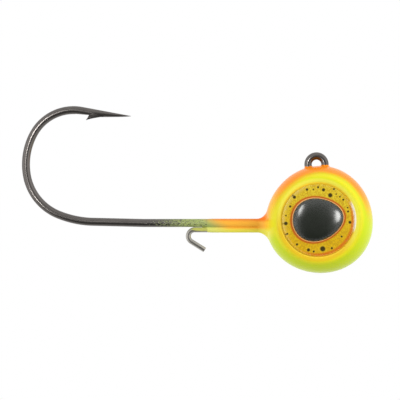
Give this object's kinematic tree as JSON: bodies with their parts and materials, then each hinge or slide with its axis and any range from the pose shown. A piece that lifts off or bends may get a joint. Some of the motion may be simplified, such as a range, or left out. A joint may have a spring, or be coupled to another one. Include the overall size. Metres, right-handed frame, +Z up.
{
  "type": "jig head",
  "caption": "Round ball jig head: a painted weight cast on a long bent hook with a line-tie ring, a wire bait keeper and a stick-on domed eye on each side.",
  "frame": {"origin": "centre of the line-tie ring's hole, midway across the hook's wire", "axes": "+X towards the front of the ball, away from the hook's bend; +Z up, out of the top of the ball through the line-tie ring; +Y to the jig's left side, across the plane of the hook"},
  "size_m": [0.0553, 0.014, 0.0263],
  "materials": {
    "hook_wire": "satin",
    "keeper_wire": "satin",
    "cast_lead": "matte",
    "head_paint": "gloss",
    "eye_adhesive": "matte",
    "eye_iris": "satin",
    "eye_pupil": "gloss",
    "eye_lens": "gloss"
  },
  "bodies": {
    "root": {"hook": "hook_wire", "keeper_wire": "keeper_wire", "lead_head": "cast_lead", "paint_coat": "head_paint", "left_eye_adhesive": "eye_adhesive", "left_eye_iris": "eye_iris", "left_eye_pupil": "eye_pupil", "left_eye_lens": "eye_lens", "right_eye_adhesive": "eye_adhesive", "right_eye_iris": "eye_iris", "right_eye_pupil": "eye_pupil", "right_eye_lens": "eye_lens"}
  },
  "joints": []
}
